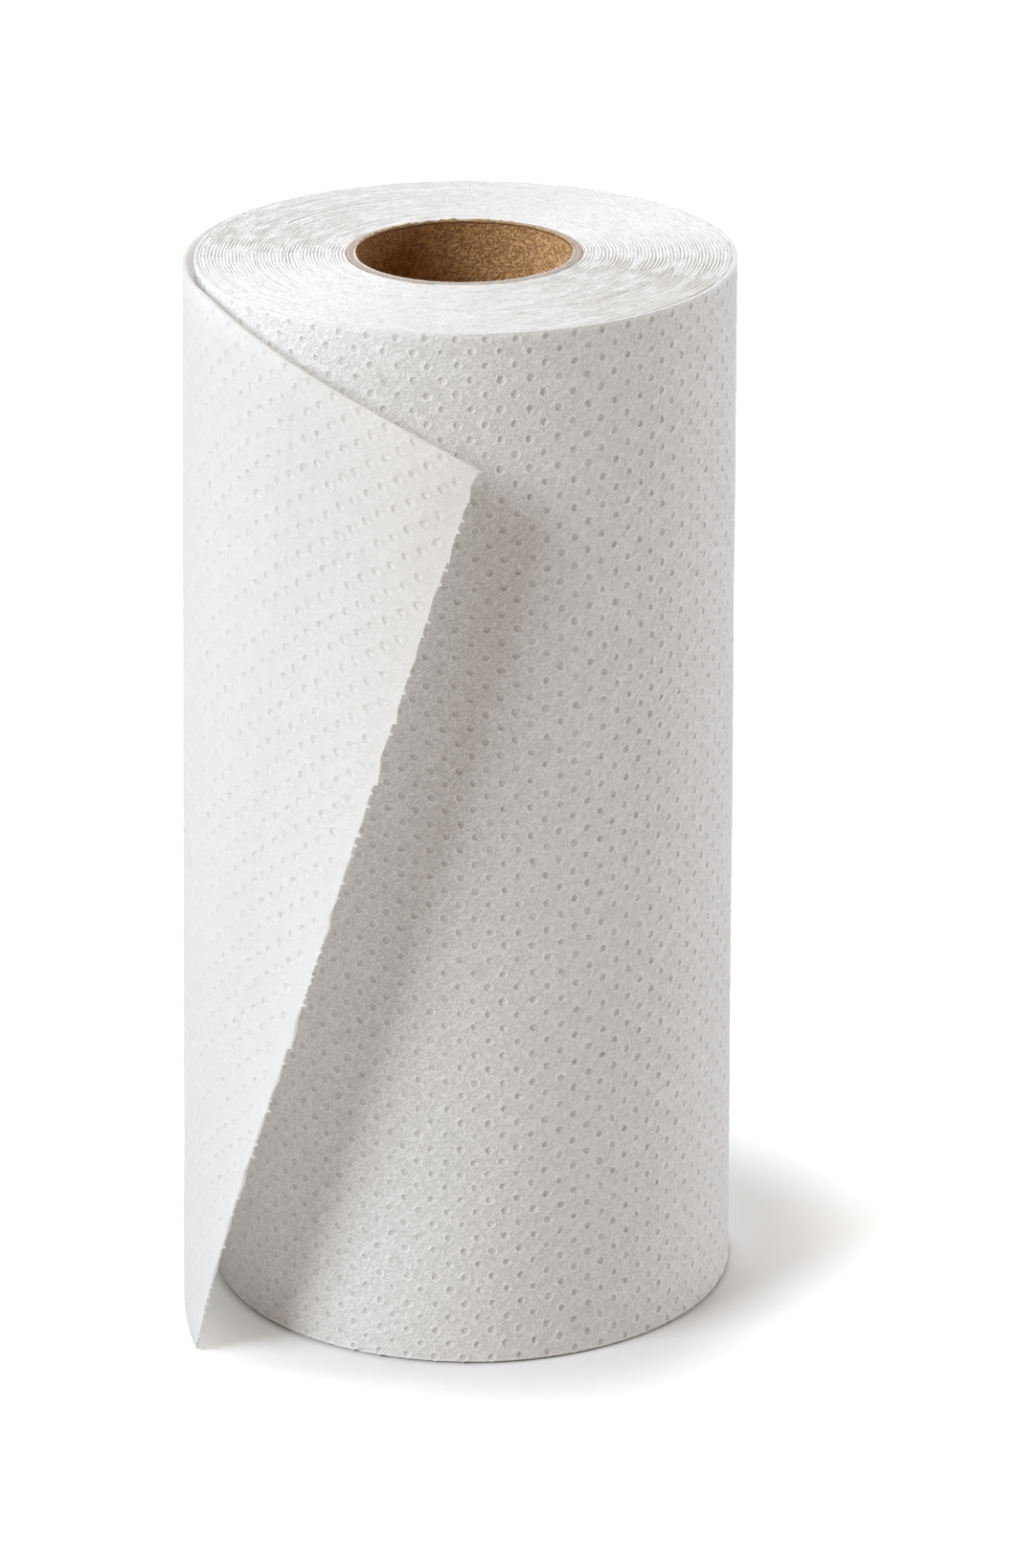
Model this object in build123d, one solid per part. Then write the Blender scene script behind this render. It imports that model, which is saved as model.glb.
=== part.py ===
"""Paper towel roll standing on its end: a kraft core tube and the towel web wound round it.

All sizes are in millimetres. The origin is on the roll's axis, on the face it stands on, +Z is up
the axis, and -Y is the side that the loose tail reaches round to.
"""
from build123d import *
from math import atan, cos, degrees, radians, sin, tan
import os

# Roll
roll_diameter = 114.0
roll_height = 230.0

# Core tube
core_outer_diameter = 49.4
core_wall = 1.9
core_fit = 0.05

# Turns, as the ridges that their edges make on both ends: each stands for two or three of paper
turn_count = 13
plain_turns = 1
ridge_height = 0.5

# Sheets and the line of slits between two of them
sheet_length = 230.0
sheet_thickness = 0.8
crease_depth = 0.3
crease_width = 0.9

# Loose tail: the paper that has come off the roll, up to its torn edge
leave_angle = 33.0
tail_top_radius = 62.0
tail_foot_radius = 88.0
tail_top_sweep = 120.0
tail_foot_sweep = 51.0
tail_corner_drop = 24.5
top_edge_lead = 8.0
torn_edge_bow = 2.6
tooth_pitch = 5.0
tooth_depth = 0.9

# Spare material and reach of the solids that are cut away
spare_sweep = 20.0
spare_height = 25.0
cut_margin = 1.0

# Worked out from the sizes above
roll_radius = roll_diameter / 2
core_radius = core_outer_diameter / 2
turn_pitch = (roll_radius - core_radius) / turn_count
# A spiral of half turns: the half ahead of the step is a quarter pitch larger, the other smaller
centre_shift = turn_pitch / 4
outer_half_radius = roll_radius + centre_shift
inner_half_radius = roll_radius - centre_shift
# The tail curls about a leaning axis, which meets the line where it leaves the roll far above it
leaving_radius = roll_radius + turn_pitch / 2
cone_angle = atan((tail_foot_radius - tail_top_radius) / roll_height)
apex_height = tail_foot_radius / tan(cone_angle)


def core_tube():
    """The kraft tube, cut off flush with the paper at both ends."""
    tube = Cylinder(core_radius, roll_height, align=(Align.CENTER, Align.CENTER, Align.MIN))
    bore_radius = core_radius - core_wall
    return tube - Cylinder(bore_radius, roll_height, align=(Align.CENTER, Align.CENTER, Align.MIN))


def half_turn_section(half_radius):
    """Section of the wound paper from inside the core's place out to half_radius, ridged on both ends."""
    ridges = turn_count - plain_turns
    inside = core_radius - turn_pitch
    top = []
    for ridge in range(ridges):
        top.append((half_radius - ridge * turn_pitch, roll_height - ridge_height))
        top.append((half_radius - (ridge + 0.5) * turn_pitch, roll_height))
    top.append((inside, roll_height))
    bottom = [(radius, roll_height - height) for radius, height in reversed(top)]
    return Plane.XZ * make_face(Polyline(*top, *bottom, close=True))


def wound_turns():
    """The turns as a true spiral of half turns, whose step is where the tail leaves, at -X."""
    outer_half = revolve(half_turn_section(outer_half_radius), Axis.Z, 180)
    inner_half = revolve(half_turn_section(inner_half_radius), Axis.Z, 180)
    spiral = Pos(-centre_shift, 0, 0) * outer_half + Pos(centre_shift, 0, 0) * Rot(0, 0, 180) * inner_half
    bore_radius = core_radius + core_fit
    return spiral - Cylinder(bore_radius, roll_height, align=(Align.CENTER, Align.CENTER, Align.MIN))


def tail_point(sweep, height):
    """Point of the tail's outer face, this far round its leaning axis from where it leaves the roll."""
    turn = cos(radians(sweep))
    slant = (apex_height - height) / (cos(cone_angle) ** 2 + sin(cone_angle) ** 2 * turn)
    inward = slant * sin(cone_angle) * cos(cone_angle) * (1 - turn)
    forward = slant * sin(cone_angle) * sin(radians(sweep))
    return Vector(inward - leaving_radius, -forward, height).rotate(Axis.Z, -leave_angle)


def torn_edge(foot, corner):
    """Zigzag of torn bridges between the slits, along a slightly bowed edge seen from the front."""
    run = corner - foot
    across = Vector(-run.Y, run.X) / run.length
    count = round(run.length / tooth_pitch)
    points = []
    for step in range(2 * count + 1):
        share = step / (2 * count)
        bow = 4 * torn_edge_bow * share * (1 - share)
        tooth = tooth_depth if step % 2 else 0
        points.append(foot + run * share + across * (bow + tooth))
    return Polyline(*points)


def beyond_the_tail():
    """All that lies above the tail's top edge and past its torn edge, seen from the front."""
    side = tail_point(leave_angle, roll_height)
    corner = tail_point(tail_top_sweep, roll_height - tail_corner_drop)
    foot = tail_point(tail_foot_sweep, 0)
    side_at = Vector(side.X, side.Z)
    lead_at = side_at + Vector(top_edge_lead, 0)
    corner_at = Vector(corner.X, corner.Z)
    foot_at = Vector(foot.X, foot.Z)
    past = 2 * roll_diameter
    above = roll_height + cut_margin
    below = -cut_margin
    around = Polyline(foot_at, (foot.X, below), (past, below), (past, above), (side.X, above), side_at)
    region = make_face([Bezier(side_at, lead_at, corner_at), torn_edge(foot_at, corner_at), around])
    return Pos(0, side.Y, 0) * extrude(Plane.XZ * region, past)


def loose_tail():
    """The tail, a cone-like curl that stands furthest from the roll at its foot."""
    leaning_axis = Axis((-leaving_radius, 0, apex_height), (-sin(cone_angle), 0, cos(cone_angle)))
    strip = Rectangle(sheet_thickness, roll_height + spare_height, align=(Align.MIN, Align.MAX))
    section = Plane.XZ * Pos(-leaving_radius, roll_height) * strip
    curl = revolve(section, leaning_axis, tail_top_sweep + spare_sweep)
    standing = curl & Cylinder(roll_diameter, roll_height, align=(Align.CENTER, Align.CENTER, Align.MIN))
    return Rot(0, 0, -leave_angle) * standing - beyond_the_tail()


def slit_crease():
    """Groove down the outermost turn, at the line of slits one sheet before the torn edge."""
    top_length = tail_top_radius * radians(tail_top_sweep)
    foot_length = tail_foot_radius * radians(tail_foot_sweep)
    loose_length = (top_length + foot_length) / 2
    angle = 180 - degrees((sheet_length - loose_length) / outer_half_radius)
    bottom_line = outer_half_radius - crease_depth
    # The wedge runs on past the paper at the same slope, to twice the depth and width
    mouth_line = bottom_line + 2 * crease_depth
    wedge = Polyline((bottom_line, 0), (mouth_line, crease_width), (mouth_line, -crease_width), close=True)
    groove = extrude(make_face(wedge), roll_height)
    return Pos(-centre_shift, 0, 0) * Rot(0, 0, angle) * groove


def towel_web():
    """The whole web in one piece: the wound turns, the crease and the loose tail."""
    turns = Rot(0, 0, -leave_angle) * (wound_turns() - slit_crease())
    return turns + loose_tail()


parts = {"core_tube": core_tube(), "towel_web": towel_web()}

os.makedirs("parts", exist_ok=True)
for name, solid in parts.items():
    export_step(solid, f"parts/{name}.step")
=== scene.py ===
"""Paper towel roll on its end: an embossed web wound on a kraft tube, its last sheet hanging loose."""
from math import atan, cos, pi, radians, sin, sqrt, tan

import bpy
import numpy as np
from mathutils import Matrix, Vector, noise


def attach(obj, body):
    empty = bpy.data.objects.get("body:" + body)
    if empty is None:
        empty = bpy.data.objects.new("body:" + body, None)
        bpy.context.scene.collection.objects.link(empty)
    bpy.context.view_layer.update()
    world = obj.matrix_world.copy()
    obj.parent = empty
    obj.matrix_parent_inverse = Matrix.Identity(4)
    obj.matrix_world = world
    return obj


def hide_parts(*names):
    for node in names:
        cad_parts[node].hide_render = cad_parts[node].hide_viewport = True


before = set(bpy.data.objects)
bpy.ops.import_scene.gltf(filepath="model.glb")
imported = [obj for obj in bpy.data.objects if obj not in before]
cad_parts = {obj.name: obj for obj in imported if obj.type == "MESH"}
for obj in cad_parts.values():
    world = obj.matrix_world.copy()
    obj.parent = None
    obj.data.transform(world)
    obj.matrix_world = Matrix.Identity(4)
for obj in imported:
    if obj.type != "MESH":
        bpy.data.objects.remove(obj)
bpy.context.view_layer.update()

MM = 0.001
# Places closer than this are one place
TOUCH = 1e-6

# The roll, as the frame has it
ROLL_RADIUS = 57.0 * MM
ROLL_HEIGHT = 230.0 * MM
CORE_RADIUS = 24.7 * MM
CORE_WALL = 1.9 * MM
TURN_STEP = 32.3 / 13 * MM
LEAVE_TURN = radians(-33)
LEAVING_RADIUS = ROLL_RADIUS + TURN_STEP / 2

# The loose tail's cone, as the frame has it
TAIL_TOP_RADIUS = 62.0 * MM
TAIL_FOOT_RADIUS = 88.0 * MM
LEAN = atan((TAIL_FOOT_RADIUS - TAIL_TOP_RADIUS) / ROLL_HEIGHT)
APEX_HEIGHT = TAIL_FOOT_RADIUS / tan(LEAN)

# The tail's edges in the flat, as lengths of paper past the line where it leaves the roll
TORN_FOOT = 84.0 * MM
TORN_CORNER = 136.5 * MM
TORN_BOW = 6.2 * MM
TORN_SKEW = 2.7 * MM
DROOP_START = 61.0 * MM
TOP_DROOP = 19.6 * MM
DROOP_CURVE = 1.38
FLARE_START = 55.0 * MM
FOOT_FLARE = 2.6 * MM

# The web: a checker of cells whose every second corner is a dimple
CELL_LENGTH = 3.07 * MM
CELL_ROWS = 75
CELL_WIDTH = ROLL_HEIGHT / CELL_ROWS
SHEET_THICKNESS = 0.8 * MM
OUTER_FACE = -0.1 * SHEET_THICKNESS
INNER_FACE = -0.95 * SHEET_THICKNESS
STEP_COLUMN = -117
SLIT_COLUMN = -41
LAST_COLUMN = 45
SLIT_LINE = SLIT_COLUMN * CELL_LENGTH
SIDE_CUTS = 13
END_CUTS = 3

# Dimples, and how much each differs from the next
DIMPLE_REACH = 1.22 * MM
DIMPLE_RIM = 1.0 * MM
DIMPLE_FLOOR = 0.64 * MM
DIMPLE_ROUNDNESS = 0.086
DIMPLE_DEPTH = 0.20 * MM
LOOSE_DEPTH = 0.9
RIM_HEIGHT = 0.06 * MM
PILLOW_HEIGHT = 0.05 * MM
PLAIN_EDGE = 2.4 * MM
DEPTH_CHANCE = 0.3
SIZE_CHANCE = 0.12
PLACE_CHANCE = 0.2 * MM
CHANCE_TABLE = (4, 512, 128)

# The paper's own unevenness: the pattern wanders, and the face rises and falls at two sizes
WANDER = 1.1 * MM
WANDER_SIZE = 34 * MM
HELD_EDGE = 7 * MM
BROAD_RISE = 0.08 * MM
BROAD_SIZE = 20 * MM
FINE_RISE = 0.05 * MM
FINE_SIZE = 4 * MM
LOOSENING = 12 * MM
STRAND_STRETCH = 0.4

# Cut rims, and the slits with their bridges
RIM_TRIM = 0.13 * MM
MIDDLE_TRIM = 0.02 * MM
LOW_RIM_TRIM = 0.50 * MM
LOW_MIDDLE_TRIM = 0.30 * MM
RIM_ROUGHNESS = 0.13 * MM
RIM_GRAIN = 1.1 * MM
SLIT_OPENING = 0.14 * MM
BRIDGE_REACH = 0.17 * MM
BRIDGE_PITCH = 5.0 * MM
BRIDGE_FLANK = 0.35 * MM
CREASE_DEPTH = 0.3 * MM
CREASE_REACH = 1.6 * MM

# Fibre drawn out of the torn edge. The nibs' spacing, pull and width are least and most, in millimetres
NIBS = 100
NIB_SPACING = (1.8, 4.6)
NIB_PULL = (0.5, 1.3)
NIB_WIDTH = (0.28, 0.5)
NIB_CURVE = 0.7
TUFT_PULL = 1.1 * MM
TUFT_WIDTH = 0.9 * MM
MIDDLE_PULL = 0.06 * MM
# Each layer of fraying has a height, a place in the noise and a size
FRAYING = ((0.22 * MM, 3.1, 1.1 * MM), (0.12 * MM, 8.2, 6 * MM))
TORN_THINNESS = 0.5
# Shares of the height, and how far out of the sheet the fibre curls there
FIBRE_CURL = ((0, 0.6), (-0.75, 0.25))
CORNER_LENGTH = 5 * MM
CORNER_HEIGHT = 8 * MM
CORNER_LIFT = 0.4 * MM

# The turns whose edges show on both ends. The profile gives shares of a turn and heights in millimetres
TURNS = 42
TURN_CUTS = 350
TURN_PROFILE = ((0.0, -0.20), (0.3, 0.0), (0.7, 0.0))
TURN_HEIGHTS = (-0.10, 0.06)
TURN_SWAY = 0.20 * MM
TURN_BOB = 0.08
TURN_LAYER = 1.7 * MM
SLIT_CHANCE = 0.9
DEEPEST_SLIT = 0.25
RIM_SINK = 0.3
END_CLEARANCE = 0.08 * MM
CORE_CLEARANCE = 0.04 * MM
SNUG_GAP = 0.03 * MM
HUG_ANGLE = radians(60)

# The tube. Its rings and loops are in millimetres from its outside and from its ends
CORE_RISE = 0.7 * MM
CORE_SIDES = 256
CORE_RINGS = (0.10, 0.60, 0.60, 0.08, 0.10, 0.32, 0.10)
CORE_LOOPS = (0.25, 0.5, 0.75, 1.2)
PLY_LINE = 1.38
EDGE_WIDTH = 0.05
BURR_START = 1.85
BURR_DEPTH = 0.7

# Colours of the tissue
WOUND_LOW = (0.735, 0.72, 0.70)
WOUND_HIGH = (0.88, 0.87, 0.855)
# The loose sheet's paper is painted lighter than the same paper on the roll, as painted light
LIT_LOOSE_PAPER = (0.975, 0.97, 0.96)
# Painted highlight: the cut ends and rims of the paper are painted lighter
PAINTED_END_HIGHLIGHT = (0.95, 0.945, 0.935)
# Dimple floors on the roll: darker, partly as denser pressed paper and partly as painted shade
DENSE_AND_SHADED_FLOOR = (0.63, 0.61, 0.585)
# Painted highlight on the rims of the dimples
PAINTED_RIM_HIGHLIGHT = (0.98, 0.975, 0.965)
# Painted shade in the slits between the turns on the roll's ends
SLIT_SHADE = (0.66, 0.635, 0.60)
LIGHT_THROUGH = (0.98, 0.96, 0.93, 1)

# Colours of the kraft board
BROWN_LOW = (0.25, 0.115, 0.038)
BROWN_HIGH = (0.48, 0.255, 0.105)
# The wall painted lighter towards the right, as painted light
LIT_BROWN_LOW = (0.40, 0.20, 0.075)
LIT_BROWN_HIGH = (0.80, 0.49, 0.235)
# Painted shade in a dark band under the burr
BURR_SHADE = (0.16, 0.07, 0.025)
TAN_BURR = (0.74, 0.52, 0.31)
PALE_PLY = (0.92, 0.89, 0.84)
DARK_PLY = (0.63, 0.54, 0.46)

# The floor's glow: where it is centred, and from which radius to which it comes up. The glow is painted light
# that only the camera sees: it is weak near the roll, so the floor's shadow there stays, and it stops at the
# roll's foot, so the thin shadow under the rim stays dark.
FLOOR_GREY = (0.76, 0.76, 0.76, 1)
GLOW_CENTRE = (4 * MM, 5 * MM, 0)
FAR_GLOW = (60 * MM, 95 * MM)
FAR_STRENGTH = 0.4
NEAR_GLOW = (56.3 * MM, 58.5 * MM)
NEAR_STRENGTH = 0.115

# Lights: name, side in metres, watts, degrees round from the front, degrees up, colour
LIGHTS = (
    ("left front", 1.1, 51.6, -56, 35, (0.87, 0.925, 1.0)),
    ("left behind", 1.1, 19.4, -110, 30, (0.68, 0.80, 1.0)),
    ("right low", 1.0, 30.6, 100, 10, (0.83, 0.895, 1.0)),
    ("behind", 1.5, 34.8, 180, 35, (0.88, 0.93, 1.0)),
)
LIGHT_DISTANCE = 2.4
ROOM_COLOUR = (1, 0.68, 0.28, 1)
ROOM_STRENGTH = 0.199

# Camera
LENS = 143.27
SENSOR_WIDTH = 36
CAMERA_PLACE = (0, -1.259, 0.595)
CAMERA_PITCH = radians(21.022)
CAMERA_YAW = radians(0.403)
CAMERA_ROLL = radians(-0.24)


def take_up(piece):
    """Makes a piece the only one selected, and the active one."""
    bpy.ops.object.select_all(action="DESELECT")
    piece.select_set(True)
    bpy.context.view_layer.objects.active = piece


def named(name):
    """Names the piece just made, and its mesh."""
    piece = bpy.context.object
    piece.name = name
    piece.data.name = name
    return piece


def points_of(piece):
    """The piece's points, one row each."""
    flat = np.empty(len(piece.data.vertices) * 3)
    piece.data.vertices.foreach_get("co", flat)
    return flat.reshape(-1, 3)


def put_points(piece, points):
    """Moves the piece's points to these places."""
    piece.data.vertices.foreach_set("co", np.ascontiguousarray(points, dtype=float).ravel())
    piece.data.update()


def edge_ends(piece):
    """The two points of each edge."""
    ends = np.empty(len(piece.data.edges) * 2, dtype=int)
    piece.data.edges.foreach_get("vertices", ends)
    return ends.reshape(-1, 2)


def face_middles(piece):
    """The middle of each face."""
    middles = np.empty(len(piece.data.polygons) * 3)
    piece.data.polygons.foreach_get("center", middles)
    return middles.reshape(-1, 3)


def mark(piece, kind, wanted):
    """Goes into edit mode with only the wanted points, edges or faces selected."""
    take_up(piece)
    bpy.ops.object.mode_set(mode="EDIT")
    bpy.ops.mesh.select_mode(type="VERT")
    bpy.ops.mesh.select_all(action="DESELECT")
    bpy.ops.mesh.select_mode(type=kind)
    bpy.ops.object.mode_set(mode="OBJECT")
    parts = {"VERT": piece.data.vertices, "EDGE": piece.data.edges, "FACE": piece.data.polygons}[kind]
    parts.foreach_set("select", np.asarray(wanted, dtype=bool))
    bpy.ops.object.mode_set(mode="EDIT")


def done():
    """Back to object mode."""
    bpy.ops.object.mode_set(mode="OBJECT")


def cut_finer(piece, edges, cuts):
    """Divides the marked edges."""
    mark(piece, "EDGE", edges)
    bpy.ops.mesh.subdivide(number_cuts=cuts)
    done()


def smooth_up_to(piece, degrees):
    """Shades the piece smooth, but for edges sharper than this."""
    take_up(piece)
    bpy.ops.object.shade_smooth_by_angle(angle=radians(degrees))


def give_attribute(piece, name, kind, values):
    """Stores a value at each point for the piece's material."""
    look = piece.data.attributes.new(name, kind, "POINT")
    field = "vector" if kind == "FLOAT_VECTOR" else "value"
    look.data.foreach_set(field, np.ascontiguousarray(values, dtype=np.float32).ravel())


def ease(share):
    """A smooth step from 0 to 1."""
    share = np.clip(share, 0, 1)
    return share * share * (3 - 2 * share)


def peak(distance, reach):
    """1 in the middle, falling to 0 at this reach."""
    return np.clip(1 - distance / reach, 0, None)


def waver(x, y, z, size):
    """Smooth chance from -1 to 1 at these places, changing over about this size."""
    spots = np.stack(np.broadcast_arrays(x, y, z), axis=1) / size
    return np.array([noise.noise(spot) for spot in spots.tolist()])


def turned(x, y, angle):
    """Points turned about the roll's axis."""
    return x * cos(angle) - y * sin(angle), x * sin(angle) + y * cos(angle)


def on_roll(length, up, proud):
    """Places on the outermost turn. The length is negative, back from the line where the tail leaves."""
    shift = TURN_STEP / 4
    ahead_radius = ROLL_RADIUS + shift
    behind_radius = ROLL_RADIUS - shift
    half = pi * ahead_radius
    ahead = length > -half
    angle = np.where(ahead, pi + length / ahead_radius, (length + half) / behind_radius)
    centre = np.where(ahead, -shift, shift)
    radius = np.where(ahead, ahead_radius, behind_radius)
    # The turn starts hard up under the leaving line, and settles on to the roll over a short way
    hug = TURN_STEP - SHEET_THICKNESS - SNUG_GAP
    radius = radius + np.where(ahead, 0, hug * (1 - ease((angle + pi) / HUG_ANGLE)))
    x = centre + (radius + proud) * np.cos(angle)
    y = (radius + proud) * np.sin(angle)
    return (*turned(x, y, LEAVE_TURN), up)


def tail_flat(length, up):
    """Where a point of the sheet lies on the cone unrolled flat: the top edge droops, the torn one bows."""
    share = up / ROLL_HEIGHT
    straight = TORN_FOOT + (TORN_CORNER - TORN_FOOT) * share
    bow = 4 * share * (1 - share) * (TORN_BOW + TORN_SKEW * (1 - 2 * share))
    across = length * (1 + bow / straight)
    past_start = np.clip(across - DROOP_START, 0, None) / (TORN_CORNER - DROOP_START)
    droop = TOP_DROOP * past_start**DROOP_CURVE
    spread = across / APEX_HEIGHT
    foot_slant = APEX_HEIGHT / (cos(LEAN) ** 2 + sin(LEAN) ** 2 * np.cos(spread / sin(LEAN)))
    low = APEX_HEIGHT - foot_slant * np.cos(spread)
    return across, low + (ROLL_HEIGHT - droop - low) * share


def on_tail(length, up, proud):
    """Places on the loose tail: a cone that meets the roll where it leaves, flared at its foot."""
    across, high = tail_flat(length, up)
    flare = np.clip((across - FLARE_START) / (TORN_FOOT - FLARE_START), 0, None) ** 2
    proud = proud + FOOT_FLARE * flare * np.clip(1 - 2 * up / ROLL_HEIGHT, 0, None) ** 2
    down = APEX_HEIGHT - high
    slant = np.hypot(across, down)
    sweep = np.arctan2(across, down) / sin(LEAN)
    out = np.stack([-cos(LEAN) * np.cos(sweep), -np.sin(sweep), -sin(LEAN) * np.cos(sweep)])
    axis = np.array([-sin(LEAN), 0, cos(LEAN)]).reshape(3, 1)
    run = slant * (sin(LEAN) * out - cos(LEAN) * axis) + proud * (cos(LEAN) * out + sin(LEAN) * axis)
    return (*turned(run[0] - LEAVING_RADIUS, run[1], LEAVE_TURN), run[2] + APEX_HEIGHT)


def wind(piece):
    """Takes a flat piece round the roll and out along the tail."""
    length, up, proud = points_of(piece).T
    rolled = np.stack(on_roll(np.minimum(length, 0), up, proud))
    loose = np.stack(on_tail(np.maximum(length, 0), up, proud))
    put_points(piece, np.where(length > 0, loose, rolled).T)


def at_ends(up):
    """The points on the two ends of the web."""
    return (up < TOUCH) | (up > ROLL_HEIGHT - TOUCH)


def past_torn_line(length, up):
    """How far a flat point lies beyond the straight torn line, negative on the sheet."""
    run = TORN_CORNER - TORN_FOOT
    return ((length - TORN_FOOT) * ROLL_HEIGHT - run * up) / np.hypot(run, ROLL_HEIGHT)


def row_height(row):
    """How far up a row of dimples lies: the first is half a cell in from the end."""
    return (row + 0.5) * CELL_WIDTH


def nearest_dimple(length, up):
    """The checker corner with a dimple that lies nearest: its column, its row and how far it is."""
    column = np.round(length / CELL_LENGTH).astype(int)
    row = np.round(up / CELL_WIDTH - 0.5).astype(int)
    best = np.full(length.shape, 1.0)
    found_column, found_row = column, row
    for step, lift in ((0, 0), (1, 0), (-1, 0), (0, 1), (0, -1)):
        tried_column = column + step
        tried_row = row + lift
        gap = np.hypot(length - tried_column * CELL_LENGTH, up - row_height(tried_row))
        better = ((tried_column + tried_row) % 2 == 0) & (gap < best)
        best = np.where(better, gap, best)
        found_column = np.where(better, tried_column, found_column)
        found_row = np.where(better, tried_row, found_row)
    return found_column, found_row, best


def has_dimple(column, row, first, last):
    """Where the web is embossed: not along its ends, its slits and its torn edge."""
    inside = (row >= 0) & (row < CELL_ROWS) & (column > first) & (column < last)
    off_tear = past_torn_line(column * CELL_LENGTH, row_height(row)) < -PLAIN_EDGE
    return inside & (np.abs(column - SLIT_COLUMN) > 1) & off_tear


def flat_slab(name, first, last, torn):
    """A flat slab of paper in cells between two columns, torn off at a slant or not."""
    columns = last - first
    rows = CELL_ROWS + 1
    bpy.ops.object.select_all(action="DESELECT")
    bpy.ops.mesh.primitive_grid_add(x_subdivisions=columns, y_subdivisions=rows, size=2, calc_uvs=False)
    slab = named(name)
    points = points_of(slab)
    points[:, 0] = (first + (points[:, 0] + 1) / 2 * columns) * CELL_LENGTH
    line = np.round((points[:, 1] + 1) / 2 * rows)
    points[:, 1] = np.clip(line - 0.5, 0, CELL_ROWS) * CELL_WIDTH
    put_points(slab, points)
    if torn:
        mark(slab, "FACE", np.ones(len(slab.data.polygons)))
        across = (ROLL_HEIGHT, TORN_FOOT - TORN_CORNER, 0)
        bpy.ops.mesh.bisect(plane_co=(TORN_FOOT, 0, 0), plane_no=across, clear_outer=True)
        done()
    paper = slab.modifiers.new("paper", "SOLIDIFY")
    paper.thickness = SHEET_THICKNESS
    paper.offset = -1
    take_up(slab)
    bpy.ops.object.modifier_apply(modifier=paper.name)
    return slab


def join_hidden_cells(slab, first, last):
    """Joins the cells of the side that lies on the roll into one long face a column."""
    for column in range(first, last):
        middles = face_middles(slab)
        below = middles[:, 2] < INNER_FACE
        mark(slab, "FACE", below & (np.floor(middles[:, 0] / CELL_LENGTH) == column))
        bpy.ops.mesh.dissolve_faces(use_verts=True)
        done()


def rises(slab):
    """How far each edge runs through the thickness of the paper."""
    ends = edge_ends(slab)
    proud = points_of(slab)[:, 2]
    return np.abs(proud[ends[:, 0]] - proud[ends[:, 1]])


def divide_rims(slab, torn):
    """A loop along the middle of the slab's rims, and finer cuts along every edge of the paper."""
    cut_finer(slab, rises(slab) > SHEET_THICKNESS / 2, 1)
    length, up, _ = points_of(slab).T
    at_side = np.abs(length - SLIT_LINE) < TOUCH
    if torn:
        at_side |= np.abs(past_torn_line(length, up)) < TOUCH
    cut_finer(slab, at_side[edge_ends(slab)].all(axis=1) & (rises(slab) < TOUCH), SIDE_CUTS)
    at_end = at_ends(points_of(slab)[:, 1])
    cut_finer(slab, at_end[edge_ends(slab)].all(axis=1) & (rises(slab) < TOUCH), END_CUTS)


def emboss(slab, first, last, last_hidden):
    """Bevels every second corner of the cells into a round dimple with a rim and a floor."""
    length, up, proud = points_of(slab).T
    column, row, gap = nearest_dimple(length, up)
    inside = (proud < INNER_FACE) & (length > (last_hidden + 0.5) * CELL_LENGTH)
    faces = (proud > OUTER_FACE) | inside
    mark(slab, "VERT", (gap < TOUCH) & has_dimple(column, row, first, last) & faces)
    bpy.ops.mesh.bevel(
        offset=DIMPLE_REACH, segments=2, profile=DIMPLE_ROUNDNESS, affect="VERTICES", clamp_overlap=False
    )
    done()
    middles = face_middles(slab)
    column, row, gap = nearest_dimple(middles[:, 0], middles[:, 1])
    dished = (gap < 0.75 * DIMPLE_REACH) & has_dimple(column, row, first, last)
    mark(slab, "FACE", dished & (middles[:, 2] > OUTER_FACE))
    bpy.ops.mesh.inset(thickness=DIMPLE_REACH - DIMPLE_RIM)
    bpy.ops.mesh.inset(thickness=DIMPLE_RIM - DIMPLE_FLOOR)
    done()


def torn_fibre(up):
    """How far fibre is drawn out along the torn edge: in nibs, a tuft at the corner, and fraying."""
    chance = np.random.default_rng(5)
    places = np.cumsum(chance.uniform(*NIB_SPACING, NIBS)) * MM
    pulls = chance.uniform(*NIB_PULL, NIBS) * MM
    widths = chance.uniform(*NIB_WIDTH, NIBS) * MM
    fibre = np.zeros(len(up))
    for place, pull, width in zip(places, pulls, widths):
        fibre = np.maximum(fibre, pull * peak(np.abs(up - place), width) ** NIB_CURVE)
    fibre += TUFT_PULL * peak(ROLL_HEIGHT - up, TUFT_WIDTH)
    return fibre + sum(height * waver(place, up, 0, size) for height, place, size in FRAYING)


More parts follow.
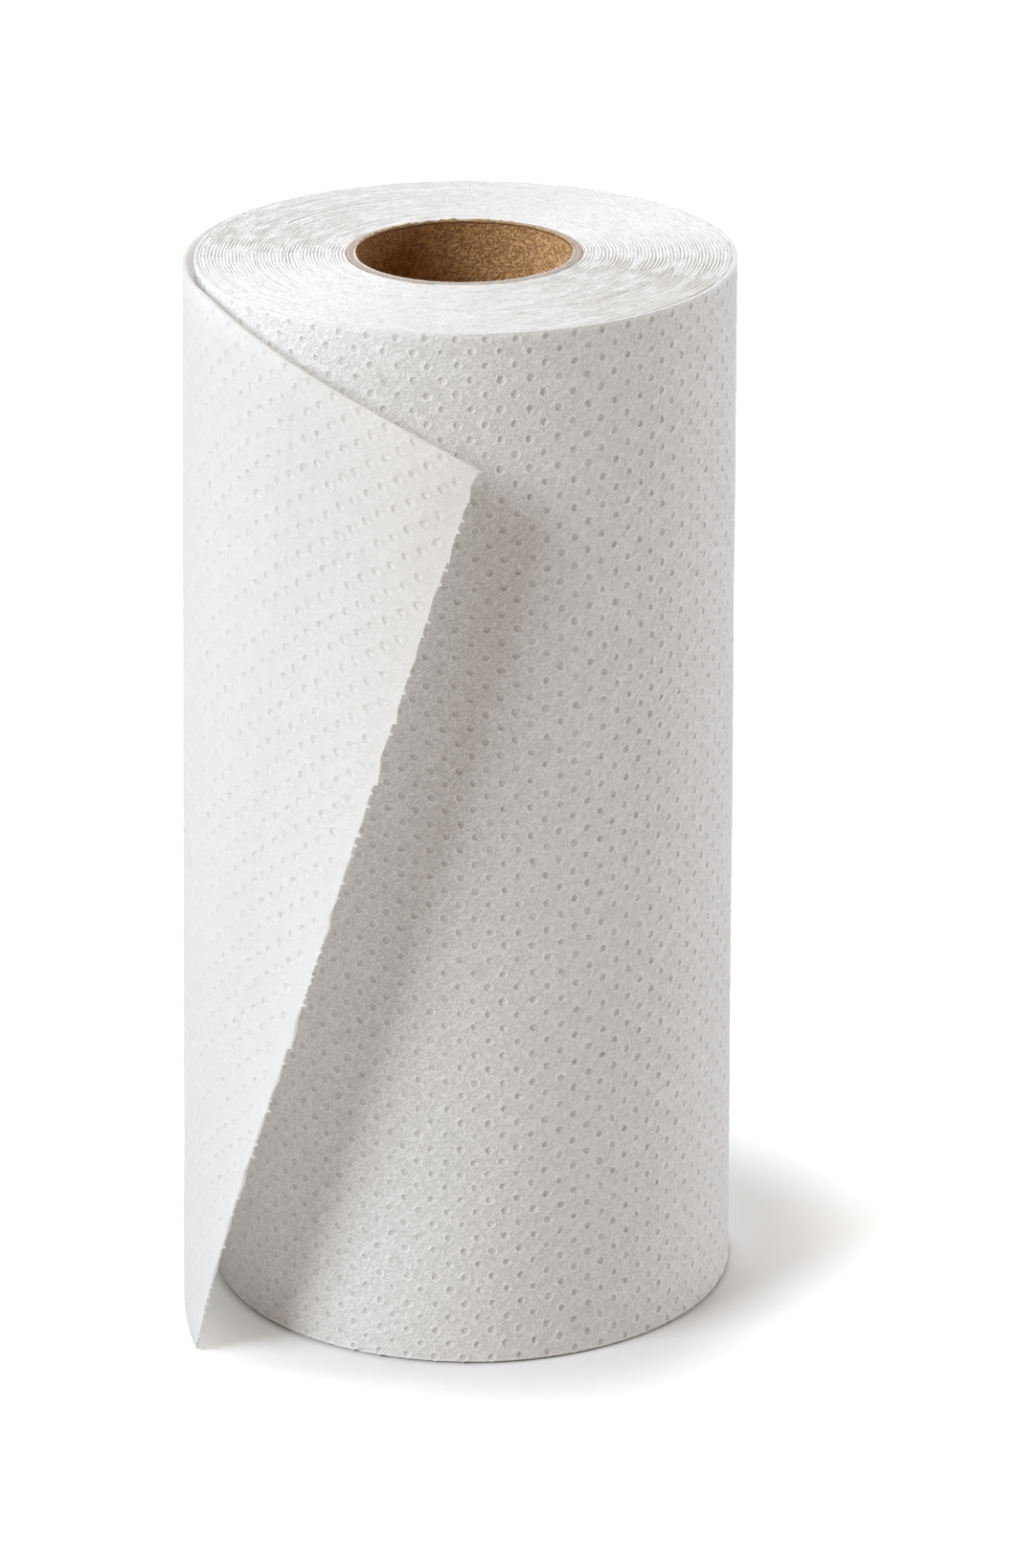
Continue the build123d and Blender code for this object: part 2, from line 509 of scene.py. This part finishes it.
def work_edges(slab, torn):
    """Rounds and roughens the cut rims, opens the slits and draws out fibre along the torn edge."""
    length, up, proud = points_of(slab).T.copy()
    middle = (proud < OUTER_FACE) & (proud > INNER_FACE)
    rough = 0.5 + 0.5 * waver(length, 0, proud, RIM_GRAIN)
    inward = np.where(up > ROLL_HEIGHT / 2, -1, 1)
    # The lower rim is turned up a little all round, so the roll has a thin shadow under it
    low_middle = (up < TOUCH) & middle & (length <= 0)
    low_rim = (up < TOUCH) & (proud > OUTER_FACE)
    trims = (LOW_MIDDLE_TRIM, MIDDLE_TRIM, LOW_RIM_TRIM)
    trimmed = np.select((low_middle, middle, low_rim), trims, RIM_TRIM) + RIM_ROUGHNESS * rough
    new_up = up + np.where(at_ends(up), inward * trimmed, 0)
    bridge = np.clip(1.6 - np.abs(up % BRIDGE_PITCH - BRIDGE_PITCH / 2) / BRIDGE_FLANK, 0, 1)
    side = 1 if torn else -1
    at_slit = np.abs(length - SLIT_LINE) < TOUCH
    new_length = length + np.where(at_slit, side * (SLIT_OPENING - BRIDGE_REACH * bridge), 0)
    if torn:
        at_tear = np.abs(past_torn_line(length, up)) < TOUCH
        fibre = torn_fibre(up)
        new_length += np.where(at_tear, fibre + np.where(middle, MIDDLE_PULL, 0), 0)
        # The foot's corner is rounded off
        near_foot = peak(TORN_FOOT - length, CORNER_LENGTH) * peak(up, CORNER_HEIGHT)
        new_up += CORNER_LIFT * near_foot**2
        # The torn edge is thin: its inner side comes up towards the outer one. Its fibre curls in at the foot
        curl = np.interp(up / ROLL_HEIGHT, *FIBRE_CURL)
        proud = np.where(at_tear, TORN_THINNESS * proud + curl * fibre, proud)
    put_points(slab, np.stack([new_length, new_up, proud], axis=1))


def work_paper(slab, first, last, torn):
    """Presses the dimples in, folds the crease of the slits and gives the paper a little unevenness."""
    length, up, proud = points_of(slab).T.copy()
    column, row, gap = nearest_dimple(length, up)
    _, columns, rows = CHANCE_TABLE
    table = np.random.default_rng(11).uniform(-1, 1, CHANCE_TABLE)
    # The dimples next to the two ends keep their place, clear of the rim
    chance = table[:, column % columns, row % rows] * ((row > 0) & (row < CELL_ROWS - 1))
    outside = proud > OUTER_FACE
    dimple = (gap < 1.06 * DIMPLE_REACH) & has_dimple(column, row, first, last)
    along = length / CELL_LENGTH - column
    aside = (up - row_height(row)) / CELL_WIDTH
    lattice = np.stack([column + row + along + aside, column - row + along - aside, dimple & outside], axis=1)
    give_attribute(slab, "lattice", "FLOAT_VECTOR", lattice * (0.5, 0.5, 1))
    give_attribute(slab, "loose", "FLOAT", ease(length / LOOSENING))
    # The paper's strands run up the diagonal of the dimples
    strand = STRAND_STRETCH * (length + up) / sqrt(2)
    give_attribute(slab, "grain", "FLOAT_VECTOR", np.stack([strand, (length - up) / sqrt(2), proud], axis=1))
    floor = dimple & (gap < (DIMPLE_FLOOR + DIMPLE_RIM) / 2)
    rim = dimple & ~floor & (gap < (DIMPLE_RIM + DIMPLE_REACH) / 2)
    depth = DIMPLE_DEPTH * (1 + DEPTH_CHANCE * chance[3]) * np.where(length > 0, LOOSE_DEPTH, 1)
    lift = np.where(floor, -depth, np.where(rim, RIM_HEIGHT, 0))
    lift = np.where(dimple | ~outside, lift, PILLOW_HEIGHT)
    lift = lift - CREASE_DEPTH * peak(np.abs(length - SLIT_LINE), CREASE_REACH)
    lift = lift + BROAD_RISE * waver(length, up, 0, BROAD_SIZE) + FINE_RISE * waver(length, up, 1, FINE_SIZE)
    # Each dimple has its own size and place, and the whole pattern wanders a little
    size = 1 + SIZE_CHANCE * chance[0]
    new_length = np.where(dimple, (column + along * size) * CELL_LENGTH, length)
    new_up = np.where(dimple, row_height(row) + aside * size * CELL_WIDTH, up)
    to_edge = np.minimum(np.minimum(up, ROLL_HEIGHT - up), np.abs(length - SLIT_LINE))
    if torn:
        to_edge = np.minimum(to_edge, -past_torn_line(length, up))
    wander = WANDER * ease(to_edge / HELD_EDGE)
    new_length += np.where(dimple, PLACE_CHANCE * chance[1], 0) + wander * waver(length, up, 5, WANDER_SIZE)
    new_up += np.where(dimple, PLACE_CHANCE * chance[2], 0) + wander * waver(length, up, 9, WANDER_SIZE)
    put_points(slab, np.stack([new_length, new_up, proud + lift], axis=1))


def make_sheet(name, first, last, last_hidden, torn=False):
    """One stretch of the web, from a flat slab to its place on the roll."""
    slab = flat_slab(name, first, last, torn)
    join_hidden_cells(slab, first, last_hidden)
    divide_rims(slab, torn)
    emboss(slab, first, last, last_hidden)
    work_edges(slab, torn)
    work_paper(slab, first, last, torn)
    wind(slab)
    smooth_up_to(slab, 62)
    return slab


def body_radius(around):
    """Outside of the turns that lie under the outermost one, at an angle on from the step."""
    length = around * ROLL_RADIUS - 2 * pi * ROLL_RADIUS
    x, y, _ = on_roll(np.minimum(length, 0), 0 * length, 0 * length)
    return np.hypot(x, y) - SHEET_THICKNESS - SNUG_GAP


def turn_ends(name, top, seed, draw):
    """One end of the wound turns: a strip of turn edges wound into a spiral."""
    steps = len(TURN_PROFILE)
    cuts = (TURNS + 1) * TURN_CUTS
    bpy.ops.object.select_all(action="DESELECT")
    bpy.ops.mesh.primitive_grid_add(x_subdivisions=cuts, y_subdivisions=steps, size=2, calc_uvs=False)
    strip = named(name)
    points = points_of(strip)
    place = np.round((points[:, 0] + 1) / 2 * cuts)
    line = np.round((points[:, 1] + 1) / 2 * steps).astype(int)
    offset = np.array([spot for spot, _ in TURN_PROFILE] + [1.0])[line]
    drop = np.array([depth for _, depth in TURN_PROFILE] + [TURN_PROFILE[0][1]])[line]
    turn = place / TURN_CUTS - 1 + offset
    share = np.clip(turn / TURNS, 0, 1)
    angle = (place % TURN_CUTS) / TURN_CUTS * 2 * pi
    inside = CORE_RADIUS + CORE_CLEARANCE
    radius = inside + (body_radius(angle) - inside) * share
    at_rim = (share <= 0) | (share >= 1)
    x = radius * np.cos(angle + pi)
    y = radius * np.sin(angle + pi)
    # Along each turn the edges sway and the slits between them open and close
    stack = turn * TURN_LAYER + seed
    sway = waver(x, y, stack, 4.5 * MM) + 0.6 * waver(x, y, stack, 2.2 * MM)
    close = waver(x, y, stack + 9, 5.0 * MM)
    bob = waver(x, y, stack + 5, 2.6 * MM)
    layer = np.floor(np.clip(turn, 0, TURNS - 0.001)).astype(int)
    proud = np.random.default_rng(draw).uniform(*TURN_HEIGHTS, TURNS)[layer]
    width = 1 + TURN_SWAY * np.where(at_rim, 0, sway) / radius
    sunk = drop * (1 + SLIT_CHANCE * close)
    height = MM * np.where(at_rim, -RIM_SINK, sunk + proud + TURN_BOB * bob)
    x, y = turned(x * width, y * width, LEAVE_TURN)
    face = ROLL_HEIGHT + CORE_RISE * (1 - share) ** 2 - END_CLEARANCE
    z = face + height if top else END_CLEARANCE - height
    put_points(strip, np.stack([x, y, z], axis=1))
    # How deep the slits lie, which paints shade into them
    give_attribute(strip, "sunk", "FLOAT", np.clip(-sunk / DEEPEST_SLIT, 0, 1))
    give_attribute(strip, "grain", "FLOAT_VECTOR", np.stack([0.2 * x, 0.2 * y, 0.6 * radius], axis=1))
    return strip


def make_wound_turns():
    """The body of the roll, with the edges of its turns on both ends."""
    lower = turn_ends("lower_end", top=False, seed=40, draw=29)
    turns = turn_ends("wound_turns", top=True, seed=3, draw=23)
    take_up(turns)
    lower.select_set(True)
    bpy.ops.object.join()
    mark(turns, "FACE", np.ones(len(turns.data.polygons)))
    bpy.ops.mesh.remove_doubles(threshold=0.004 * MM)
    bpy.ops.mesh.dissolve_degenerate(threshold=0.002 * MM)
    bpy.ops.mesh.select_mode(type="EDGE")
    bpy.ops.mesh.select_all(action="DESELECT")
    bpy.ops.mesh.select_non_manifold()
    done()
    # The open rims of the two ends are joined, outside and inside
    rims = np.array([edge.select for edge in turns.data.edges])
    reach = np.hypot(*points_of(turns)[:, :2].T)[edge_ends(turns)].mean(axis=1)
    outer = reach > (ROLL_RADIUS + CORE_RADIUS) / 2
    for wall in (rims & outer, rims & ~outer):
        mark(turns, "EDGE", np.pad(wall, (0, len(turns.data.edges) - len(wall))))
        bpy.ops.mesh.bridge_edge_loops()
        done()
    mark(turns, "FACE", np.ones(len(turns.data.polygons)))
    bpy.ops.mesh.normals_make_consistent(inside=False)
    done()
    smooth_up_to(turns, 75)
    return turns


def ringed_tube():
    """A plain tube with rings on its cut ends and loops close to them."""
    tall = ROLL_HEIGHT + CORE_RISE
    bpy.ops.object.select_all(action="DESELECT")
    bpy.ops.mesh.primitive_cylinder_add(
        vertices=CORE_SIDES, radius=CORE_RADIUS, depth=tall, end_fill_type="NGON", location=(0, 0, tall / 2)
    )
    tube = named("kraft_tube")
    bpy.ops.object.transform_apply(location=True, rotation=True, scale=True)
    normals = np.array([face.normal[:] for face in tube.data.polygons])
    mark(tube, "FACE", np.abs(normals[:, 2]) > 0.9)
    for width in CORE_RINGS:
        bpy.ops.mesh.inset(thickness=width * MM)
    bpy.ops.mesh.delete(type="ONLY_FACE")
    bpy.ops.mesh.select_mode(type="EDGE")
    bpy.ops.mesh.select_all(action="DESELECT")
    bpy.ops.mesh.select_non_manifold()
    bpy.ops.mesh.bridge_edge_loops(number_cuts=3)
    for depth in CORE_LOOPS:
        for level in (depth * MM, tall - depth * MM):
            bpy.ops.mesh.select_all(action="SELECT")
            bpy.ops.mesh.bisect(plane_co=(0, 0, level), plane_no=(0, 0, 1))
    done()
    return tube


def make_kraft_tube():
    """The tube: a pale lip and a darker ply on its cut ends, and a ragged burr inside them."""
    tube = ringed_tube()
    tall = ROLL_HEIGHT + CORE_RISE
    x, y, z = points_of(tube).T.copy()
    reach = np.hypot(x, y)
    into = (CORE_RADIUS - reach) / MM
    from_end = np.minimum(z, tall - z) / MM
    toward = np.where(z > tall / 2, 1, -1)
    at_end = from_end < 0.01
    rough = waver(x, y, z, 1.4 * MM)
    fine = waver(x, y, z + 5, 0.7 * MM)
    groove = peak(np.abs(into - PLY_LINE), EDGE_WIDTH)
    edge = np.minimum(peak(into, EDGE_WIDTH) + peak(CORE_WALL / MM - into, EDGE_WIDTH), 1)
    fall = 0.05 + 0.14 * groove + 0.07 * edge + 0.05 * rough + 0.03 * fine
    z = z - np.where(at_end, toward * MM * fall, 0)
    burr = (into > BURR_START) & (from_end < BURR_DEPTH)
    curl = np.where(burr, 0.10 + 0.12 * rough + 0.05 * fine, 0) * (1 - np.clip(from_end / 0.8, 0, 1))
    z = z + np.where(burr & ~at_end, toward * 0.1 * MM * rough, 0)
    # The saw has left the burr standing proud at the back
    stands = ease(0.5 + 1.5 * y / CORE_RADIUS) * (0.5 + 0.4 * rough + 0.3 * fine)
    inner_ring = at_end & (into > 1.75) & (toward > 0)
    z = z + np.where(inner_ring, np.clip(stands, 0, 1) * MM, 0)
    x = x * (1 - MM * curl / reach)
    y = y * (1 - MM * curl / reach)
    put_points(tube, np.stack([x, y, z], axis=1))
    smooth_up_to(tube, 50)
    return tube


def wire(tree, source, target):
    """Joins an output to an input, each given as a node and a socket's name or number."""
    tree.links.new(source[0].outputs[source[1]], target[0].inputs[target[1]])


def sums(tree, kind, first, second=None):
    """A maths node on one or two outputs or numbers."""
    node = tree.nodes.new("ShaderNodeMath")
    node.operation = kind
    for place, given in enumerate((first, second)):
        if isinstance(given, tuple):
            wire(tree, given, (node, place))
        elif given is not None:
            node.inputs[place].default_value = given
    return (node, 0)


def times(tree, first, second):
    """The product of two outputs, or of an output and a number."""
    return sums(tree, "MULTIPLY", first, second)


def distance_from(tree, value, middle):
    """How far a value is from this number."""
    return sums(tree, "ABSOLUTE", sums(tree, "SUBTRACT", value, middle))


def vectors(tree, kind, first, second=None):
    """A vector maths node on an output, with a plain vector where it takes a second."""
    node = tree.nodes.new("ShaderNodeVectorMath")
    node.operation = kind
    wire(tree, first, (node, 0))
    if second:
        node.inputs[1].default_value = second
    return (node, "Value" if kind in ("LENGTH", "DISTANCE") else "Vector")


def part_of(tree, vector, axis):
    """One part of a vector."""
    node = tree.nodes.new("ShaderNodeSeparateXYZ")
    wire(tree, vector, (node, 0))
    return (node, axis)


def told(tree, name, field="Fac"):
    """A value that the mesh gives at its points."""
    node = tree.nodes.new("ShaderNodeAttribute")
    node.attribute_name = name
    return (node, field)


def span(tree, value, low, high):
    """0 to 1 as the value goes from low to high."""
    node = tree.nodes.new("ShaderNodeMapRange")
    node.interpolation_type = "SMOOTHSTEP"
    node.inputs["From Min"].default_value = min(low, high)
    node.inputs["From Max"].default_value = max(low, high)
    if low > high:
        node.inputs["To Min"].default_value = 1
        node.inputs["To Max"].default_value = 0
    wire(tree, value, (node, "Value"))
    return (node, "Result")


def blend(tree, share, first, second):
    """A colour between two, each an output or a plain colour."""
    node = tree.nodes.new("ShaderNodeMix")
    node.data_type = "RGBA"
    wire(tree, share, (node, 0))
    for socket, given in ((6, first), (7, second)):
        if isinstance(given[0], float):
            node.inputs[socket].default_value = (*given, 1)
        else:
            wire(tree, given, (node, socket))
    return (node, 2)


def fibre_group():
    """Matted fibre: fine curly strands over soft waves."""
    group = bpy.data.node_groups.new("matted fibre", "ShaderNodeTree")
    group.interface.new_socket("Place", in_out="INPUT", socket_type="NodeSocketVector")
    for label, start in (("Strands", 1400.0), ("Waves", 260.0), ("Wave Share", 0.5)):
        socket = group.interface.new_socket(label, in_out="INPUT", socket_type="NodeSocketFloat")
        socket.default_value = start
    for label in ("Height", "Waves"):
        group.interface.new_socket(label, in_out="OUTPUT", socket_type="NodeSocketFloat")
    given = group.nodes.new("NodeGroupInput")
    out = group.nodes.new("NodeGroupOutput")
    curl = group.nodes.new("ShaderNodeTexNoise")
    curl.inputs["Detail"].default_value = 2.0
    curl.inputs["Distortion"].default_value = 0.8
    waves = group.nodes.new("ShaderNodeTexNoise")
    waves.inputs["Detail"].default_value = 2.0
    wire(group, (given, "Place"), (curl, "Vector"))
    wire(group, (given, "Place"), (waves, "Vector"))
    wire(group, (given, "Strands"), (curl, "Scale"))
    wire(group, (given, "Waves"), (waves, "Scale"))
    strands = span(group, distance_from(group, (curl, 0), 0.5), 0.16, 0.0)
    mixed = group.nodes.new("ShaderNodeMix")
    wire(group, (given, "Wave Share"), (mixed, 0))
    wire(group, strands, (mixed, 2))
    wire(group, (waves, 0), (mixed, 3))
    wire(group, (mixed, 0), (out, "Height"))
    wire(group, (waves, 0), (out, "Waves"))
    return group


def matted(tree, fibre, place, strands, waves, wave_share):
    """Puts the fibre group on these coordinates with its own sizes."""
    node = tree.nodes.new("ShaderNodeGroup")
    node.node_tree = fibre
    wire(tree, place, (node, "Place"))
    node.inputs["Strands"].default_value = strands
    node.inputs["Waves"].default_value = waves
    node.inputs["Wave Share"].default_value = wave_share
    return node


def relief(tree, height, distance):
    """Turns a height into the shader's normal."""
    bump = tree.nodes.new("ShaderNodeBump")
    bump.inputs["Distance"].default_value = distance
    wire(tree, height, (bump, "Height"))
    wire(tree, (bump, "Normal"), (tree.nodes["Principled BSDF"], "Normal"))


def new_material(name, roughness, specular):
    """A material with its plain shader, and that shader."""
    material = bpy.data.materials.new(name)
    material.use_nodes = True
    shader = material.node_tree.nodes["Principled BSDF"]
    shader.inputs["Roughness"].default_value = roughness
    shader.inputs["Specular IOR Level"].default_value = specular
    return material, shader


def make_tissue(fibre):
    """Soft tissue whose dimples have a painted highlight on their rim and a floor painted darker, partly as
    denser paper and partly as painted shade. The loose sheet is painted lighter, the cut ends get a painted
    highlight and the slits between turns painted shade. Light comes through the loose sheet.
    """
    tissue, shader = new_material("embossed tissue", 0.92, 0.2)
    shader.inputs["Sheen Weight"].default_value = 0.08
    tree = tissue.node_tree
    soft = matted(tree, fibre, told(tree, "grain", "Vector"), 1900.0, 620.0, 0.35)
    loose = told(tree, "loose")
    # How far a place is from the middle of its dimple, in millimetres, and whether there is one
    lattice = told(tree, "lattice", "Vector")
    within = vectors(tree, "FRACTION", vectors(tree, "ADD", lattice, (0.5, 0.5, 0)))
    cell = (sqrt(2) * CELL_LENGTH / MM, sqrt(2) * CELL_WIDTH / MM, 0)
    centred = vectors(tree, "MULTIPLY", vectors(tree, "SUBTRACT", within, (0.5, 0.5, 0)), cell)
    jitter = times(tree, (soft, "Waves"), 0.25)
    away = sums(tree, "ADD", vectors(tree, "LENGTH", centred), jitter)
    dimpled = part_of(tree, lattice, "Z")
    floor = times(tree, span(tree, away, 0.96, 0.82), dimpled)
    patchy = times(tree, span(tree, (soft, "Waves"), 0.30, 0.62), dimpled)
    rim = times(tree, span(tree, distance_from(tree, away, 1.10), 0.28, 0.10), patchy)
    bowl = times(tree, span(tree, away, 1.60, 0.30), dimpled)
    where = (tree.nodes.new("ShaderNodeTexCoord"), "Object")
    half = ROLL_HEIGHT / 2
    from_middle = distance_from(tree, part_of(tree, where, "Z"), half)
    cut = span(tree, from_middle, half - 1.4 * MM, half - 0.9 * MM)
    # The colours, from the paper up
    wound = blend(tree, span(tree, (soft, "Height"), 0.2, 0.8), WOUND_LOW, WOUND_HIGH)
    # The loose sheet painted lighter than the paper on the roll, as painted light
    paper = blend(tree, loose, wound, LIT_LOOSE_PAPER)
    # Painted highlight on the roll's cut ends and the sheets' rims
    pale = blend(tree, times(tree, cut, 0.5), paper, PAINTED_END_HIGHLIGHT)
    # Dimple floors on the roll painted darker, partly as denser paper and partly as painted shade
    firm = times(tree, sums(tree, "SUBTRACT", 1.0, loose), 0.4)
    dense_and_shaded = blend(tree, times(tree, floor, firm), pale, DENSE_AND_SHADED_FLOOR)
    # Painted highlight on each dimple's rim
    rim_highlighted = blend(tree, times(tree, rim, 0.65), dense_and_shaded, PAINTED_RIM_HIGHLIGHT)
    # Painted shade in the slits between turns
    slit_shaded = blend(tree, times(tree, told(tree, "sunk"), 0.7), rim_highlighted, SLIT_SHADE)
    wire(tree, slit_shaded, (shader, "Base Color"))
    # The relief: strands, a rim round each dimple, and soft bowls and wrinkles on the loose sheet
    raised = sums(tree, "ADD", times(tree, (soft, "Height"), 0.38), times(tree, rim, 0.2))
    hollow = sums(tree, "ADD", times(tree, loose, 0.5), 0.25)
    lowered = sums(tree, "SUBTRACT", raised, times(tree, bowl, hollow))
    folds = times(tree, (soft, "Waves"), loose)
    relief(tree, sums(tree, "ADD", lowered, folds), 0.34 * MM)
    through = tree.nodes.new("ShaderNodeBsdfTranslucent")
    through.inputs["Color"].default_value = LIGHT_THROUGH
    thin = tree.nodes.new("ShaderNodeMixShader")
    wire(tree, times(tree, loose, 0.5), (thin, 0))
    wire(tree, (shader, 0), (thin, 1))
    wire(tree, (through, 0), (thin, 2))
    wire(tree, (thin, 0), (tree.nodes["Material Output"], "Surface"))
    return tissue


def make_kraft(fibre):
    """Kraft board: brown and mottled on the wall, painted lighter towards the right as painted light, paler
    on the cut ends, tan along the burr, with a band of painted shade under it.
    """
    kraft, shader = new_material("kraft board", 0.78, 0.3)
    tree = kraft.node_tree
    where = (tree.nodes.new("ShaderNodeTexCoord"), "Object")
    board = matted(tree, fibre, where, 1150.0, 420.0, 0.4)
    reach = vectors(tree, "LENGTH", vectors(tree, "MULTIPLY", where, (1, 1, 0)))
    half = (ROLL_HEIGHT + CORE_RISE) / 2
    away = distance_from(tree, part_of(tree, where, "Z"), half)
    ragged = sums(tree, "ADD", away, times(tree, (board, "Waves"), 0.5 * MM))
    burr = span(tree, ragged, half + 0.10 * MM, half + 0.25 * MM)
    # The cut ends, but for the inner wall and the part of the burr that stands above them
    level = span(tree, away, half - 0.24 * MM, half - 0.16 * MM)
    low = times(tree, level, span(tree, away, half + 0.22 * MM, half + 0.10 * MM))
    cut = times(tree, low, span(tree, reach, CORE_RADIUS - 1.88 * MM, CORE_RADIUS - 1.80 * MM))
    ply = span(tree, reach, CORE_RADIUS - 1.42 * MM, CORE_RADIUS - 1.34 * MM)
    grain = span(tree, (board, "Height"), 0.25, 0.75)
    brown = blend(tree, grain, BROWN_LOW, BROWN_HIGH)
    lit_brown = blend(tree, grain, LIT_BROWN_LOW, LIT_BROWN_HIGH)
    # The wall painted lighter towards the right, as painted light
    wall = blend(tree, span(tree, part_of(tree, where, "X"), -6 * MM, 22 * MM), brown, lit_brown)
    # A band of painted shade just under the burr
    shade_under_burr = times(tree, span(tree, ragged, half - 0.35 * MM, half - 0.05 * MM), 0.8)
    edged = blend(tree, burr, blend(tree, shade_under_burr, wall, BURR_SHADE), TAN_BURR)
    ends = blend(tree, ply, PALE_PLY, DARK_PLY)
    wire(tree, blend(tree, cut, edged, ends), (shader, "Base Color"))
    relief(tree, (board, "Height"), 0.4 * MM)
    return kraft


def finish_piece(piece, material, node):
    """Gives a piece its material, and tells the frame what it stands for."""
    piece.data.materials.clear()
    piece.data.materials.append(material)
    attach(piece, "root")
    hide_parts(node)


def make_floor():
    """A wide pale floor that glows to the camera alone, more so away from the roll."""
    bpy.ops.object.select_all(action="DESELECT")
    bpy.ops.mesh.primitive_plane_add(size=12, location=(0, 0, 0))
    floor = named("floor")
    pale, shader = new_material("pale floor", 0.9, 0.0)
    shader.inputs["Base Color"].default_value = FLOOR_GREY
    shader.inputs["Emission Color"].default_value = (1, 1, 1, 1)
    tree = pale.node_tree
    where = (tree.nodes.new("ShaderNodeTexCoord"), "Object")
    aside = vectors(tree, "DISTANCE", where, GLOW_CENTRE)
    far = times(tree, span(tree, aside, *FAR_GLOW), FAR_STRENGTH)
    near = times(tree, span(tree, vectors(tree, "LENGTH", where), *NEAR_GLOW), NEAR_STRENGTH)
    seen = tree.nodes.new("ShaderNodeLightPath")
    glow = times(tree, sums(tree, "ADD", far, near), (seen, "Is Camera Ray"))
    wire(tree, glow, (shader, "Emission Strength"))
    floor.data.materials.append(pale)


def make_light(name, size, watts, around, above, colour):
    """A square soft light aimed at the middle of the roll."""
    light = bpy.data.lights.new(name, "AREA")
    light.shape = "SQUARE"
    light.size = size
    light.energy = watts
    light.color = colour
    lamp = bpy.data.objects.new(name, light)
    lamp.visible_camera = False
    bpy.context.collection.objects.link(lamp)
    azimuth, elevation = radians(around), radians(above)
    ray = Vector((sin(azimuth) * cos(elevation), -cos(azimuth) * cos(elevation), sin(elevation)))
    lamp.location = Vector((0, 0, ROLL_HEIGHT / 2)) + ray * LIGHT_DISTANCE
    lamp.rotation_euler = ray.to_track_quat("Z", "Y").to_euler()


def make_lights():
    """Soft lights, the left front one strongest, and a dim warm room that fills the shadows."""
    world = bpy.data.worlds.new("room")
    bpy.context.scene.world = world
    world.use_nodes = True
    room = world.node_tree.nodes["Background"]
    room.inputs["Color"].default_value = ROOM_COLOUR
    room.inputs["Strength"].default_value = ROOM_STRENGTH
    for light in LIGHTS:
        make_light(*light)
    bpy.context.scene.view_settings.view_transform = "Standard"


def make_camera():
    """The photograph's long-lens view, from a little over a metre away and well above."""
    lens = bpy.data.cameras.new("camera")
    lens.lens = LENS
    lens.sensor_width = SENSOR_WIDTH
    lens.clip_start = 0.05
    camera = bpy.data.objects.new("camera", lens)
    bpy.context.collection.objects.link(camera)
    pitch, yaw, roll = CAMERA_PITCH, CAMERA_YAW, CAMERA_ROLL
    ahead = Vector((sin(yaw) * cos(pitch), cos(yaw) * cos(pitch), -sin(pitch)))
    level = Vector((cos(yaw), -sin(yaw), 0))
    lift = level.cross(ahead)
    right = level * cos(roll) + lift * sin(roll)
    up = lift * cos(roll) - level * sin(roll)
    turn = Matrix((right, up, -ahead)).transposed().to_4x4()
    camera.matrix_world = Matrix.Translation(CAMERA_PLACE) @ turn
    bpy.context.scene.camera = camera


make_camera()
kraft_tube = make_kraft_tube()
wound_turns = make_wound_turns()
outer_turn = make_sheet("outer_turn", STEP_COLUMN, SLIT_COLUMN, last_hidden=SLIT_COLUMN)
last_sheet = make_sheet("last_sheet", SLIT_COLUMN, LAST_COLUMN, last_hidden=0, torn=True)

fibre = fibre_group()
tissue = make_tissue(fibre)
finish_piece(kraft_tube, make_kraft(fibre), "core_tube")
for paper in (wound_turns, outer_turn, last_sheet):
    finish_piece(paper, tissue, "towel_web")

make_floor()
make_lights()
